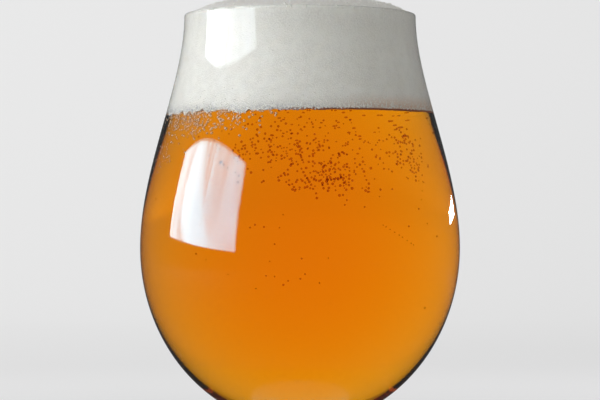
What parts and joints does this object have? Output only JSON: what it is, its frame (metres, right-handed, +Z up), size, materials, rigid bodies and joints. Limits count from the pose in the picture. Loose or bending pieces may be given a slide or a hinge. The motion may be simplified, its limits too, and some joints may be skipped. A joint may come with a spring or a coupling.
{
  "type": "pint of beer in a stemmed tulip glass",
  "caption": "Full stemmed tulip glass of clear amber beer with a deep white head of foam that fills the neck and stands above the rim.",
  "frame": {"origin": "centre of the foot's resting face, on the table", "axes": "+Z up along the axis of the glass; +X and +Y are free, as the glass is round"},
  "size_m": [0.096, 0.096, 0.1805],
  "materials": {
    "clear_glass": "polished",
    "amber_beer": "clear liquid",
    "beer_foam": "matte"
  },
  "bodies": {
    "root": {"glass": "clear_glass", "beer": "amber_beer", "foam": "beer_foam"}
  },
  "joints": []
}
